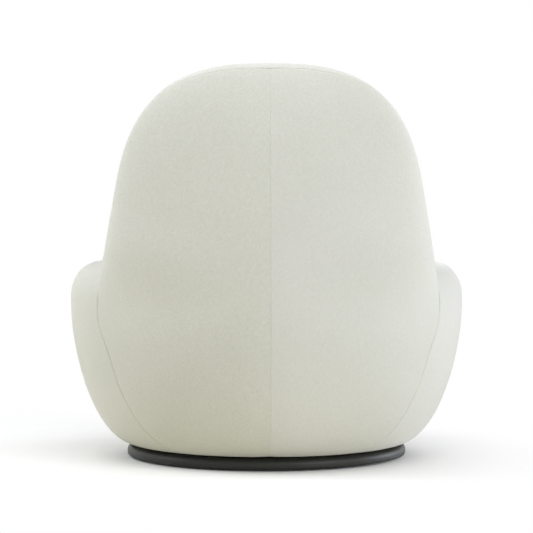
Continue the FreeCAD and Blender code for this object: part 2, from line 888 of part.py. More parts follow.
def make_ring(behind, pad_room):
    clear = bottom_cutter()
    opening = rod(turn_under_radius, 0, board_top)
    arm_top = arm_height - arm_core_drop + seat_gap
    apron_top = apron_height - apron_core_drop + seat_gap
    last = arm_board_front_angle
    cores = [wall_core(arm_board_rear_angle - board_gap_angle, last + board_gap_angle, arm_top),
             wall_core(last, 360 - last, apron_top)]
    first = arm_rear_angle
    end = arm_front_angle - seam_gap_angle
    skin = ring_solid(first, end, arm_section_count, 0)
    skin = skin.cut(ring_solid(first, end, arm_section_count, cover_thickness))
    skin = skin.cut(behind).cut(pad_room).cut(clear).cut(opening)
    foam = ring_solid(first, end, arm_section_count, layer_inset)
    foam = foam.cut(behind).cut(pad_room).cut(clear)
    for core in cores:
        foam = foam.cut(core)
    save("arm_cover_left", solids_of(skin))
    save("arm_cover_right", solids_of(mirrored(skin)))
    save("arm_foam_left", solids_of(foam))
    save("arm_foam_right", solids_of(mirrored(foam)))
    start = arm_front_angle
    apron = ring_solid(start, 360 - start, apron_section_count, 0)
    apron_skin = apron.cut(ring_solid(start, 360 - start, apron_section_count, cover_thickness))
    save("front_apron_cover", solids_of(apron_skin.cut(clear).cut(opening)))
    apron_foam = ring_solid(start, 360 - start, apron_section_count, layer_inset)
    save("front_apron_foam", solids_of(apron_foam.cut(clear).cut(cores[1])))


def cushion_slice(z, share):
    """Outline of the seat cushion at one height, drawn in about its middle by a share."""
    radius = well_radius - seat_clearance
    rear = seam_offset - pad_depth - seat_clearance
    corner_y = rear - wing_reach
    corner_x = math.sqrt(radius * radius - corner_y * corner_y)
    side_turn = math.radians(seat_side_angle)
    side_x = radius * math.sin(side_turn)
    side_y = radius * math.cos(side_turn)
    nose_turn = math.radians(seat_nose_angle)
    nose_x = seat_nose_radius * math.sin(nose_turn)
    nose_y = seat_nose_radius * math.cos(nose_turn)
    flank_y = between(side_y, nose_y, seat_flank_share)
    bend_x = between(nose_x, side_x, SQRT_HALF)
    bend_y = between(flank_y, nose_y, SQRT_HALF)
    middle_y = (rear - seat_nose_radius) / 2
    plan = [(corner_x, corner_y), (radius, 0), (side_x, side_y), (side_x, flank_y)]
    plan += [(bend_x, bend_y), (nose_x, nose_y)]
    right = [vec(share * x, middle_y + share * (y - middle_y), z) for x, y in plan]
    left = [side_swapped(point) for point in right]
    back = vec(0, middle_y + share * (rear - middle_y), z)
    nose = vec(0, middle_y + share * (-seat_nose_radius - middle_y), z)
    edges = [arc(left[0], back, right[0]), arc(right[0], right[1], right[2]), line(right[2], right[3])]
    edges += [arc(right[3], right[4], right[5]), arc(right[5], nose, left[5])]
    edges += [arc(left[5], left[4], left[3]), line(left[3], left[2]), arc(left[2], left[1], left[0])]
    return Part.Wire(edges)


def cushion_solid(inset):
    """Crowned cushion with drawn-in sides, from its foot to a small flat on the crown."""
    foot = cushion_foot + inset
    edge = seat_height - seat_crown - inset
    size = 1 - inset / well_radius
    wires = [cushion_slice(between(foot, edge, rise), size * share) for rise, share in seat_side_shares]
    for share in seat_crown_shares:
        z = edge + seat_crown * (1 - share ** 3)
        wires.append(cushion_slice(z, size * share))
    return loft(wires, 2)


def make_seat(pad_room):
    start = sweep_start_angle - seat_room_lead_angle
    bodies = []
    for inset in (0, cover_thickness, layer_inset):
        arm_room = ring_solid(start, sweep_end_angle, arm_section_count, -soft_clearance - inset)
        bodies.append(cushion_solid(inset).cut(arm_room).cut(mirrored(arm_room)).cut(pad_room))
    cover, hollow, foam = bodies
    save("seat_cover", solids_of(cover.cut(hollow)))
    save("seat_foam", solids_of(foam))


def main():
    os.makedirs("parts", exist_ok=True)
    make_base_cover()
    make_base_core()
    make_base_ballast()
    make_base_fixings()
    make_swivel_plates()
    make_ball_cage()
    make_swivel_pin()
    make_swivel_fixings()
    make_bottom()
    make_back_frame()
    make_back_ribs()
    make_ring_frame()
    make_seat_frame()
    make_springs()
    make_webbing()
    behind = room_behind(seam_gap / 2)
    pad_room = pad_solid(-seat_gap)
    make_deck(behind, pad_room)
    make_outside_back()
    make_inside_back()
    make_ring(behind, pad_room)
    make_seat(pad_room)


main()
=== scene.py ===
# %% [markdown]
# # A swivel lounge chair, seen from behind
# The chair is a round tub on a low metal disc. Its outside back is two panels of
# velvet sewn together down the middle, the arms run round to the front in one
# sweep, and the inside back rises out of them and rolls over the crest. The packed
# CAD model is the fixed frame. This lesson keeps its boards, springs and bearing,
# gives them finishes, and makes new upholstery that stands for the soft solids.

import json
import math

import bmesh
import bpy
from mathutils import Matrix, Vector, kdtree, noise


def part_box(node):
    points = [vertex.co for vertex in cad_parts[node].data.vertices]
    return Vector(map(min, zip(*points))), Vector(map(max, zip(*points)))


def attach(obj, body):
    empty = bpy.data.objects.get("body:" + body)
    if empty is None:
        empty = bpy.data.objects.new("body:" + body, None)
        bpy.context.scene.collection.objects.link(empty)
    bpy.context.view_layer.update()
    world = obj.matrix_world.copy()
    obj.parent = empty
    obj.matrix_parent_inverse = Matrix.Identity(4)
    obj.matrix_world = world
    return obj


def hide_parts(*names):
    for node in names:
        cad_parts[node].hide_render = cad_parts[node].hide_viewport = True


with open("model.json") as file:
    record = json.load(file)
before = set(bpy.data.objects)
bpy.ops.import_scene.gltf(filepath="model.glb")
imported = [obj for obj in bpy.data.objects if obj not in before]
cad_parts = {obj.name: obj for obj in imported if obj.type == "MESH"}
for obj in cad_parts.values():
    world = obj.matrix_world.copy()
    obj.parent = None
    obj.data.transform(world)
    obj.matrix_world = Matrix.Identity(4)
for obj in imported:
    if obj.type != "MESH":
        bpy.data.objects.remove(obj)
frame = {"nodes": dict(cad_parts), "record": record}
scene = bpy.context.scene
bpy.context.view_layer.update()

# %% [markdown]
# ## The camera
# The photograph looks at the back from six metres with a long lens, a little off
# the middle and three degrees down. A long lens keeps the round body from
# bulging towards the viewer, so the lens matters as much as the place.

# %% Camera
EYE = Vector((0.1257, 5.9987, 0.737))
AIM = Vector((0.0, 0.0, 0.4063))
LENS_MM = 188.2
SENSOR_MM = 36.0

camera = bpy.data.objects.new("camera", bpy.data.cameras.new("camera"))
scene.collection.objects.link(camera)
camera.data.lens = LENS_MM
camera.data.sensor_width = SENSOR_MM
camera.data.clip_end = 100.0
camera.location = EYE
camera.rotation_mode = "QUATERNION"
camera.rotation_quaternion = (AIM - EYE).to_track_quat("-Z", "Y")
scene.camera = camera
print("camera", round((AIM - EYE).length, 3), "m from the chair")

# %% [markdown]
# ## Shapes of the body
# All the covers lie on one smooth outline, so it is written once, as the radius of
# the bowl, the line of the side seam and the depth of the dome at each height.
# Every cover below asks these functions where its cloth lies, and neighbours
# therefore meet along the same curve.

# %% Outline of the bowl and the seam
CREST = 0.838
BELLY = 0.421
BELLY_HEIGHT = 0.320
UNDERSIDE = 0.0285
UNDERSIDE_RADIUS = 0.284
TURN_UNDER_RADIUS = 0.262
BOWL_FALL = 1.6
BOWL_ROUND = 0.49
SEAM_Y = 0.225
SEAM_LEAN = 0.25
LEAN_START = 0.352
BEND_RUN = 0.096
SEAM_DRIFT = 0.021
DRIFT_RUN = 0.095
ROUND_START = 0.560


def smooth_step(value):
    t = min(max(value, 0.0), 1.0)
    return t * t * (3 - 2 * t)


def ramp(distance, run):
    """Nothing before the start, then a slope of one, with a soft bend between."""
    if distance <= 0:
        return 0.0
    return distance * distance / (2 * run) if distance < run else distance - run / 2


def bowl_radius(z):
    fall = min(max((BELLY_HEIGHT - z) / (BELLY_HEIGHT - UNDERSIDE), 0.0), 1.0)
    return UNDERSIDE_RADIUS + (BELLY - UNDERSIDE_RADIUS) * (1 - fall ** BOWL_FALL) ** BOWL_ROUND


def seam_y(z):
    """Rear face of the inside back, on which the outside back is built."""
    return SEAM_Y + SEAM_LEAN * ramp(z - LEAN_START, BEND_RUN)


def side_seam_y(z):
    """Side seam on the outside, which drifts rearwards below the belly."""
    return seam_y(z) + SEAM_DRIFT * smooth_step((BELLY_HEIGHT - z) / DRIFT_RUN)


print("seam at the crest", round(seam_y(CREST), 4), "and low down", round(side_seam_y(0.1), 4))

# %% Width and depth of the dome
TAPER = 0.18
CROWN_POWER = 3.1
CORNER_POWER = 2.8
DOME_POWER = 1.5
HALVINGS = 40


def back_width(z):
    """Half the width of the back between its side seams."""
    if z <= BELLY_HEIGHT:
        return math.sqrt(bowl_radius(z) ** 2 - side_seam_y(z) ** 2)
    width = math.sqrt(BELLY ** 2 - SEAM_Y ** 2) - TAPER * ramp(z - BELLY_HEIGHT, BEND_RUN)
    rise = min(max((z - ROUND_START) / (CREST - ROUND_START), 0.0), 1.0)
    return width * (1 - rise ** CROWN_POWER) ** (1 / CORNER_POWER)


def back_bulge(z):
    """How far the middle of the back stands out behind its side seams."""
    if z <= BELLY_HEIGHT:
        return bowl_radius(z) - side_seam_y(z)
    rise = min(max((z - BELLY_HEIGHT) / (CREST - BELLY_HEIGHT), 0.0), 1.0)
    crest_y = seam_y(CREST)
    return crest_y + (BELLY - crest_y) * (1 - rise * rise) ** (1 / DOME_POWER) - seam_y(z)


def ridge_height(x):
    """Height of the crest over a place across the back."""
    low, high = ROUND_START, CREST
    for _ in range(HALVINGS):
        middle = (low + high) / 2
        if back_width(middle) > abs(x):
            low = middle
        else:
            high = middle
    return low


print("ridge", [round(ridge_height(x), 4) for x in (0, 0.1, 0.2)])

# %% [markdown]
# ## Cloth as a grid
# A cover starts as a plain grid. Each vertex is then carried to its place on the
# body by a function of its column and row. Rows and columns crowd together beside
# a seam, because the pull of the stitches dents the cloth within a few
# millimetres, and a coarse grid couldn't show it.

# %% Grids and crowded steps
NEAR_SEAM = [0.0, 0.0005, 0.0012, 0.0023, 0.0040, 0.0070, 0.012]


def crowded(length, step, start=True, end=True):
    """Shares of a length, close together at its sewn ends."""
    first = NEAR_SEAM if start else [0.0]
    last = [length - d for d in reversed(NEAR_SEAM)] if end else [length]
    count = max(2, round((last[0] - first[-1]) / step))
    middle = [first[-1] + (last[0] - first[-1]) * k / count for k in range(1, count)]
    return [d / length for d in first + middle + last]


def grid(columns, rows, place):
    """A sheet with a vertex for every column and row, carried to its place."""
    bm = bmesh.new()
    across, up = len(columns) - 1, len(rows) - 1
    bmesh.ops.create_grid(bm, x_segments=across, y_segments=up, size=0.5)
    for v in bm.verts:
        i = round((v.co.x + 0.5) * across)
        j = round((v.co.y + 0.5) * up)
        v.co = place(columns[i], rows[j])
    bmesh.ops.remove_doubles(bm, verts=bm.verts, dist=0.00002)
    return bm


def face_out(bm, middle):
    """Turn an open sheet so that its faces look away from a point inside."""
    bmesh.ops.recalc_face_normals(bm, faces=bm.faces)
    outward = sum(f.normal.dot(f.calc_center_median() - middle) * f.calc_area() for f in bm.faces)
    if outward < 0:
        bmesh.ops.reverse_faces(bm, faces=bm.faces)
    bm.normal_update()


print("steps beside a seam", [round(1000 * s * 0.4, 1) for s in crowded(0.4, 0.01)[:8]])

# %% [markdown]
# ## Seams
# Where two covers are sewn together their edges turn inwards, and the stitches
# pull the padding down into a shallow valley. Points along each sewn edge go into
# a search tree, and every vertex sinks by how near it is. A slow noise along the
# seam keeps the valley from looking machined.

# %% Valleys beside sewn edges
EDGE_PARTS = 8
PULL_CHANGE = 0.35
PULL_SCALE = 70


def edge_points(bm, wanted):
    """Points along the border edges whose middle passes a test."""
    points = []
    for e in bm.edges:
        a, b = e.verts[0].co, e.verts[1].co
        if e.is_boundary and wanted((a + b) / 2):
            points += [a.lerp(b, k / EDGE_PARTS) for k in range(EDGE_PARTS)]
    return points


def sink(bm, points, depth, reach):
    """Dent the cloth beside a line of points."""
    tree = kdtree.KDTree(len(points))
    for i, p in enumerate(points):
        tree.insert(p, i)
    tree.balance()
    bm.normal_update()
    moves = []
    for v in bm.verts:
        near, _, distance = tree.find(v.co)
        if distance < 3 * reach:
            pull = 1 + PULL_CHANGE * noise.noise(near * PULL_SCALE)
            moves.append((v, v.normal * (depth * pull * math.exp(-(distance / reach) ** 2))))
    for v, move in moves:
        v.co -= move
    return len(moves)


print("pull of the stitches", 1 - PULL_CHANGE, "to", 1 + PULL_CHANGE)

# %% Turn a sheet into a piece of the chair


def piece_from(bm, name, thickness=0.0, smoothing=1, crisp=0.0):
    """A finished piece at the origin, with a wall and a subdivision if asked."""
    mesh = bpy.data.meshes.new(name)
    bm.to_mesh(mesh)
    bm.free()
    mesh.shade_smooth()
    piece = bpy.data.objects.new(name, mesh)
    scene.collection.objects.link(piece)
    if thickness:
        wall = piece.modifiers.new("wall", "SOLIDIFY")
        wall.thickness = thickness
        wall.offset = -1.0
        wall.use_rim = True
        wall.edge_crease_outer = crisp
    if smoothing:
        rounding = piece.modifiers.new("rounding", "SUBSURF")
        rounding.levels = smoothing
        rounding.render_levels = smoothing
    print(name, len(mesh.polygons), "faces")
    return piece


# %% [markdown]
# ## The outside back
# Two panels meet in a seam down the middle. Each panel has four edges: the middle
# seam, the seam over the crest, the side seam and the edge that turns under the
# bottom. Above the shoulders its rows bend up to follow the crest, so that the
# grid has four clear corners and no point where all its columns meet.

# %% Crest seam
CORNER_X = 0.200
CREST_DROP = 0.0094
CREST_DROP_POWER = 8
SEAM_GAP = 0.00008
SIDE_GAP = 0.00030


def crest_drop(x):
    """How far the crest seam lies below the ridge, on its rear side."""
    return CREST_DROP * max(0.0, 1 - (abs(x) / CORNER_X) ** CREST_DROP_POWER)


CORNER_Z = ridge_height(CORNER_X)
print("the crest seam joins the side seam at", round(CORNER_Z, 4))

# %% Where the cloth of the outside back lies
OVAL_RUN = 0.160


def dome_y(x, z):
    """Rear surface above the shoulders."""
    width = back_width(z)
    share = min(abs(x) / width, 1.0) if width > 0 else 1.0
    return seam_y(z) + back_bulge(z) * math.sqrt(1 - share * share)


def back_place(turn, z):
    """Rear surface below the shoulders: turn 0 is the side seam, 1 the middle."""
    width, bulge = back_width(z), back_bulge(z)
    radius = (width * width + bulge * bulge) / (2 * bulge)
    edge = math.asin(width / radius)
    round_x = radius * math.sin(edge * (1 - turn))
    round_y = radius * math.cos(edge * (1 - turn)) - radius + bulge
    oval_x = width * math.cos(turn * math.pi / 2)
    oval_y = bulge * math.sin(turn * math.pi / 2)
    blend = smooth_step((z - BELLY_HEIGHT) / OVAL_RUN)
    x = round_x + (oval_x - round_x) * blend
    return Vector((x, side_seam_y(z) + round_y + (oval_y - round_y) * blend, z))


def panel_place(turn, level):
    """Level -1 to 0 turns under the bottom, 0 to 1 is the body, 1 to 2 the head."""
    if level < 0:
        radius = UNDERSIDE_RADIUS + (UNDERSIDE_RADIUS - TURN_UNDER_RADIUS) * level
        reach = math.acos(side_seam_y(UNDERSIDE) / radius) * (1 - turn)
        return Vector((radius * math.sin(reach), radius * math.cos(reach), UNDERSIDE))
    if level <= 1:
        lift = 1 - math.cos(level * math.pi / 2)
        return back_place(turn, UNDERSIDE + (ROUND_START - UNDERSIDE) * lift)
    head = math.sin((level - 1) * math.pi / 2)
    width = back_width(ROUND_START + (CORNER_Z - ROUND_START) * head)
    x = width * math.cos(turn * math.pi / 2)
    top_x = CORNER_X * math.cos(turn * math.pi / 2)
    top = ridge_height(top_x) - crest_drop(top_x)
    z = ROUND_START + (top - ROUND_START) * head
    return Vector((x, dome_y(x, z), z))


print("middle of the crest seam", [round(v, 4) for v in panel_place(1, 2)])

# %% Sew the two outside back panels
BACK_CLOTH = 0.0015
EDGE_CREASE = 0.75
VALLEY_DEPTH, VALLEY_REACH = 0.0012, 0.0200
STITCH_REACH = 0.0020
MIDDLE_STITCH, SIDE_STITCH, CREST_STITCH = 0.0004, 0.0012, 0.0006
GAP_CLOSED_Z, GAP_RUN = 0.6, 0.1
INSIDE_BACK_HALF = Vector((0.1, 0.1, 0.4))
ABOVE_FOOT = UNDERSIDE + 0.001
SHOULDER_Z = 0.45

turns = crowded(0.45, 0.012)
levels = [-1 + 0.25 * k for k in range(4)] + [k / 34 for k in range(35)]
levels += [2 - s for s in reversed(crowded(0.35, 0.012, end=False)[:-1])]


def mirrored(bm):
    """Flip a sheet to the other side of the chair, with its faces still outward."""
    bmesh.ops.scale(bm, vec=(-1, 1, 1), verts=bm.verts)
    bmesh.ops.reverse_faces(bm, faces=bm.faces)


def outside_panel(name, side):
    bm = grid(turns, levels, panel_place)
    for v in bm.verts:
        v.co.x += SEAM_GAP
        v.co.y += SIDE_GAP * smooth_step((GAP_CLOSED_Z - v.co.z) / GAP_RUN)
    face_out(bm, INSIDE_BACK_HALF)
    middle = edge_points(bm, lambda p: p.x < 0.001 and p.z > ABOVE_FOOT)
    side_seam = edge_points(bm, lambda p: p.x > 0.002 and ABOVE_FOOT < p.z < SHOULDER_Z)
    crest = edge_points(bm, lambda p: p.x > 0.002 and p.z > SHOULDER_Z)
    print(name, "sunk", sink(bm, middle, VALLEY_DEPTH, VALLEY_REACH),
          sink(bm, middle, MIDDLE_STITCH, STITCH_REACH),
          sink(bm, side_seam, SIDE_STITCH, STITCH_REACH),
          sink(bm, crest, CREST_STITCH, STITCH_REACH))
    if side < 0:
        mirrored(bm)
    return piece_from(bm, name, thickness=BACK_CLOTH, crisp=EDGE_CREASE)


outside_left = outside_panel("outside_back_panel_left", 1)
outside_right = outside_panel("outside_back_panel_right", -1)
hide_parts("outside_back_cover_left")
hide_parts("outside_back_cover_right")

# %% [markdown]
# ## Wadding under the outside back
# The cloth of the back lies on a layer of wadding, not on bare board. It is the
# same grid for one half, moved in by the thickness of the cloth, mirrored and
# joined in the middle, and given a thick wall.

# %% Wadding
WADDING_INSET = 0.0022
WADDING_WALL = 0.0140
half_turns = [k / 30 for k in range(31)]
half_levels = [k / 30 for k in range(61)]
wadding_bm = grid(half_turns, half_levels, panel_place)
face_out(wadding_bm, INSIDE_BACK_HALF)
for v in wadding_bm.verts:
    v.co -= v.normal * WADDING_INSET
    if abs(v.co.x) < 0.0005:
        v.co.x = 0.0
half = wadding_bm.verts[:] + wadding_bm.edges[:] + wadding_bm.faces[:]
bmesh.ops.mirror(wadding_bm, geom=half, axis="X", merge_dist=0.0004)
face_out(wadding_bm, Vector((0, 0.1, 0.4)))
wadding = piece_from(wadding_bm, "outside_back_wadding", thickness=WADDING_WALL, smoothing=0)
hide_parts("outside_back_padding")

# %% [markdown]
# ## The inside back
# The inside back faces the sitter: hollow in the middle, with a round wing to each side. It is one
# closed cushion. Its front is a grid with the same four corners as the outside panels, and at the
# crest it rolls over the ridge to meet their seam, which is why a pale band shows above that seam
# from behind. Its velvet is also painted paler towards the crest, painted light that adds to that
# band.

# %% Front surface of the inside back
PAD_DEPTH = 0.070
WING_REACH = 0.037
PAD_FOOT = 0.262
PAD_BOTTOM = 0.2015
PAD_ROUND = 0.620
PAD_POWER = 2.3
PAD_SIDE_POWER = 6
WING_SHARE = 0.75
SEAM_TUCK = 0.0012
TUCK_LEAN = 0.3
ARM_TOP = 0.416
WELL_RIM = 0.300


def pad_width(z):
    """Half the width of the inside back, which narrows between the arms."""
    if z >= ARM_TOP:
        return back_width(z)
    opening = smooth_step((z - WELL_RIM) / (ARM_TOP - WELL_RIM))
    return PAD_FOOT + (back_width(z) - PAD_FOOT) * opening


def pad_front(x, z):
    """How far back the front surface lies at a place across and a height."""
    rise = min(max((z - PAD_ROUND) / (CREST - PAD_ROUND), 0.0), 1.0)
    full = (1 - rise ** PAD_POWER) ** (1 / PAD_POWER)
    share = min(abs(x) / pad_width(z), 1.0) if pad_width(z) > 0 else 1.0
    hollow = PAD_DEPTH + WING_REACH * (share / WING_SHARE) ** 2
    return seam_y(z) - full * hollow * math.sqrt(1 - share ** PAD_SIDE_POWER)


def pad_place(turn, level):
    """Turn 0 to 2 runs from one side over the middle to the other; level 0 to 1 is
    the part below the shoulders, 1 to 2 the head, 2 to 3 the roll over the crest,
    and above 3 the edge that is tucked under the seam."""
    side = 1 if turn <= 1 else -1
    cosine = math.cos(min(turn, 2 - turn) * math.pi / 2)
    if level <= 1:
        z = PAD_BOTTOM + (ROUND_START - PAD_BOTTOM) * level
        x = pad_width(z) * cosine
        return Vector((side * x, pad_front(x, z), z))
    top_x = CORNER_X * cosine
    ridge = ridge_height(top_x)
    if level <= 2:
        head = math.sin((level - 1) * math.pi / 2)
        x = back_width(ROUND_START + (CORNER_Z - ROUND_START) * head) * cosine
        z = ROUND_START + (ridge - ROUND_START) * head
        return Vector((side * x, pad_front(x, z) if level < 2 else seam_y(z), z))
    tuck = SEAM_TUCK if level > 3 else 0.0
    z = ridge - crest_drop(top_x) * (min(level, 3) - 2) ** 2 - tuck
    return Vector((side * top_x, dome_y(top_x, z) - TUCK_LEAN * tuck, z))


print("front of the hollow", [round(v, 3) for v in pad_place(1, 1)])

# %% Close the inside back
REAR_INSET = 0.012
REAR_GAP = 0.001
PAD_MIDDLE_Z = 0.5
PAD_RIM_Z = 0.43
PAD_STITCH = 0.0001

pad_turns = crowded(0.55, 0.014, end=False)[:-1]
pad_turns = pad_turns + [1] + [2 - t for t in reversed(pad_turns)]
pad_levels = [k / 26 for k in range(27)] + [1 + k / 24 for k in range(1, 25)]
pad_levels += [2.2, 2.4, 2.6, 2.8, 2.9, 2.96, 3, 3.1]
pad_bm = grid(pad_turns, pad_levels, pad_place)
bmesh.ops.remove_doubles(pad_bm, verts=pad_bm.verts, dist=0.0003)
face_out(pad_bm, Vector((0, 0.4, 0.5)))
pad_rim = edge_points(pad_bm, lambda p: p.z > PAD_RIM_Z)
print("inside back sunk", sink(pad_bm, pad_rim, PAD_STITCH, STITCH_REACH))
whole = pad_bm.verts[:] + pad_bm.edges[:] + pad_bm.faces[:]
rear = bmesh.ops.duplicate(pad_bm, geom=whole)["geom"]
rear_faces = [g for g in rear if isinstance(g, bmesh.types.BMFace)]
for v in [g for g in rear if isinstance(g, bmesh.types.BMVert)]:
    flat = Vector((v.co.x, 0, v.co.z - PAD_MIDDLE_Z))
    flat *= 1 - REAR_INSET / max(flat.length, 0.05)
    z = flat.z + PAD_MIDDLE_Z
    v.co = Vector((flat.x, seam_y(z) - REAR_GAP, z))
bmesh.ops.reverse_faces(pad_bm, faces=rear_faces)
bmesh.ops.bridge_loops(pad_bm, edges=[e for e in pad_bm.edges if e.is_boundary])
bmesh.ops.recalc_face_normals(pad_bm, faces=pad_bm.faces)
print("inside back, open edges", sum(e.is_boundary for e in pad_bm.edges))
inside_back = piece_from(pad_bm, "inside_back")
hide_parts("inside_back_cover", "inside_back_foam")

# %% [markdown]
# ## Arms and front apron
# One upright section sweeps round the seat: out from under the bottom, up the
# bowl, over a soft shoulder and down inside. Towards the front the section gets
# lower, from arm height to the apron under the cushion. Each row of the grid
# follows one point of the section round the chair, and starts where the arm
# leaves the outside back or the wing.

# %% Section of the arms and apron
WELL = 0.271
ARM_HEIGHT = 0.4190
SHOULDER_SHARE = 0.87
APRON_HEIGHT = 0.250
ARM_REACH, APRON_REACH = 0.074, 0.040
ARM_DROP, APRON_DROP = 0.0795, 0.045
WELL_FOOT = 0.18
SWEEP = (95.0, 150.0)
ARM_END = 140.0


def ring_point(angle, level):
    """Level 0 to 1 turns under, 1 to 2 is the wall, 2 to 3 the shoulder, 3 to 4
    the top, 4 to 5 the inner shoulder and 5 to 6 the inner wall."""
    sweep = smooth_step((min(angle, 360 - angle) - SWEEP[0]) / (SWEEP[1] - SWEEP[0]))
    top = ARM_HEIGHT + (APRON_HEIGHT - ARM_HEIGHT) * sweep
    reach = ARM_REACH + (APRON_REACH - ARM_REACH) * sweep
    drop = ARM_DROP + (APRON_DROP - ARM_DROP) * sweep
    shoulder = top - drop
    outer = bowl_radius(shoulder)
    if level < 1:
        return TURN_UNDER_RADIUS + (UNDERSIDE_RADIUS - TURN_UNDER_RADIUS) * level, UNDERSIDE
    if level <= 2:
        z = UNDERSIDE + (shoulder - UNDERSIDE) * (1 - math.cos((level - 1) * math.pi / 2))
        return bowl_radius(z), z
    if level <= 3:
        turn = (level - 2) * math.pi / 2
        return (outer - reach * (1 - math.cos(turn) ** SHOULDER_SHARE),
                shoulder + drop * math.sin(turn) ** SHOULDER_SHARE)
    if level <= 4:
        return (outer - reach) + (WELL + reach - outer + reach) * (level - 3), top
    if level <= 5:
        turn = (5 - level) * math.pi / 2
        return WELL + reach * (1 - math.cos(turn)), shoulder + drop * math.sin(turn)
    return WELL, shoulder + (WELL_FOOT - shoulder) * (level - 5)


def ring_place(angle, level):
    radius, z = ring_point(angle, level)
    turn = math.radians(angle)
    return Vector((radius * math.sin(turn), radius * math.cos(turn), z))


print("arm at its side", [round(v, 3) for v in ring_place(90, 3.5)])

# %% Where an arm row leaves the back
PAD_CLEARANCE = 0.0010
EDGE_HALVINGS = 30


def behind_the_arm(p, level):
    """Whether a place belongs to the outside back or the inside back."""
    if p.y > (side_seam_y(p.z) if level < 3 else seam_y(p.z)):
        return True
    if p.z <= PAD_BOTTOM or abs(p.x) >= pad_width(p.z):
        return False
    return p.y > pad_front(p.x, p.z) - PAD_CLEARANCE


def row_start(level):
    """Angle at which a row of the arm comes clear of the back."""
    low, high = 25.0, 100.0
    for _ in range(EDGE_HALVINGS):
        middle = (low + high) / 2
        if behind_the_arm(ring_place(middle, level), level):
            low = middle
        else:
            high = middle
    return high + math.degrees(SIDE_GAP / BELLY)


print("rows start at", [round(row_start(k + 0.5), 1) for k in range(5)])

# %% Arms
PAD_COVER = 0.0165
ARM_STITCH = 0.0013
END_GAP = 0.03
INSIDE_ARM = Vector((0.26, -0.05, 0.15))
TURNED_UNDER = 0.03

arm_turns = crowded(0.62, 0.013)
arm_levels = [0, 0.33, 0.66]
arm_levels += [1 + k / 18 for k in range(19)] + [2 + k / 12 for k in range(1, 13)]
arm_levels += [3.5] + [4 + k / 12 for k in range(13)] + [5.25, 5.5, 5.75, 6]
row_starts = {level: row_start(level) for level in arm_levels}


def arm_place(share, level):
    start = row_starts[level]
    return ring_place(start + (ARM_END - END_GAP - start) * share, level)


def make_arm(name, side):
    bm = grid(arm_turns, arm_levels, arm_place)
    face_out(bm, INSIDE_ARM)
    rim = edge_points(bm, lambda p: p.z > TURNED_UNDER)
    print(name, "sunk", sink(bm, rim, ARM_STITCH, STITCH_REACH))
    if side < 0:
        mirrored(bm)
    return piece_from(bm, name, thickness=PAD_COVER)


arm_left = make_arm("arm_left", 1)
arm_right = make_arm("arm_right", -1)
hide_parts("arm_cover_left", "arm_foam_left")
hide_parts("arm_cover_right", "arm_foam_right")

# %% Front apron
APRON_SPAN = 360 - 2 * ARM_END - 2 * END_GAP
APRON_STITCH, APRON_STITCH_REACH = 0.0014, 0.0035


def apron_place(share, level):
    return ring_place(ARM_END + END_GAP + APRON_SPAN * share, level)


apron_bm = grid(crowded(0.58, 0.013), arm_levels, apron_place)
face_out(apron_bm, Vector((0, -0.35, 0.15)))
apron_rim = edge_points(apron_bm, lambda p: p.z > TURNED_UNDER and p.y > -0.33)
print("apron sunk", sink(apron_bm, apron_rim, APRON_STITCH, APRON_STITCH_REACH))
apron = piece_from(apron_bm, "front_apron", thickness=PAD_COVER)
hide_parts("front_apron_cover", "front_apron_foam")

# %% [markdown]
# ## The seat deck
# Under the cushion a padded deck covers the springs. Its edge is a circle that
# stops at the inside back, found by walking outwards until the deck would touch.

# %% Blocks with a plan of their own


def reach_from(middle, angle, inside):
    """Distance from a middle, along a direction, to the edge of a shape."""
    low, high = 0.0, 0.6
    for _ in range(EDGE_HALVINGS):
        way = (low + high) / 2
        x = middle[0] + way * math.sin(angle)
        y = middle[1] - way * math.cos(angle)
        low, high = (way, high) if inside(x, y) else (low, way)
    return low


def from_middle(middle, angle, way, z):
    """A place at a height, some way out from a middle; angle 0 is the front."""
    return Vector((middle[0] + way * math.sin(angle), middle[1] - way * math.cos(angle), z))


def raise_block(bm, rise, offset, segments):
    """Draw a flat outline up into a block and round its level edges."""
    raised = bmesh.ops.extrude_face_region(bm, geom=bm.faces[:])
    lifted = [g for g in raised["geom"] if isinstance(g, bmesh.types.BMVert)]
    bmesh.ops.translate(bm, vec=(0, 0, rise), verts=lifted)
    level_edges = [e for e in bm.edges if abs(e.verts[0].co.z - e.verts[1].co.z) < 1e-6]
    bmesh.ops.bevel(bm, geom=level_edges, offset=offset, segments=segments, profile=0.5,
                    affect="EDGES", material=-1)
    bmesh.ops.recalc_face_normals(bm, faces=bm.faces)


print("reach of a disc", round(reach_from((0, 0), 0, lambda x, y: math.hypot(x, y) < WELL), 4))

# %% Deck
DECK_FOOT = 0.2005
DECK_TOP = 0.2494
DECK_MIDDLE = (0, -0.05)
DECK_ROUND = 0.004
DECK_TOUCH_Z = 0.2485
WELL_GAP, PAD_GAP = 0.0012, 0.0015


def on_the_deck(x, y):
    return math.hypot(x, y) < WELL - WELL_GAP and y < pad_front(x, DECK_TOUCH_Z) - PAD_GAP


deck_bm = bmesh.new()
bmesh.ops.create_circle(deck_bm, cap_ends=True, segments=96, radius=1.0)
for v in deck_bm.verts:
    angle = math.atan2(v.co.x, -v.co.y)
    way = reach_from(DECK_MIDDLE, angle, on_the_deck)
    v.co = from_middle(DECK_MIDDLE, angle, way, DECK_FOOT)
raise_block(deck_bm, DECK_TOP - DECK_FOOT, DECK_ROUND, 3)
deck = piece_from(deck_bm, "seat_deck", smoothing=0)
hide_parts("deck_pad", "deck_cover")

# %% [markdown]
# ## The seat cushion
# A cushion is a sewn bag that its filling blows up, so it is made the way the real
# one gets its shape: a flat-sided bag a little too small is given cloth, and air
# pressure rounds it. Then the arms, the inside back and the deck press it flat
# where it rests on them.

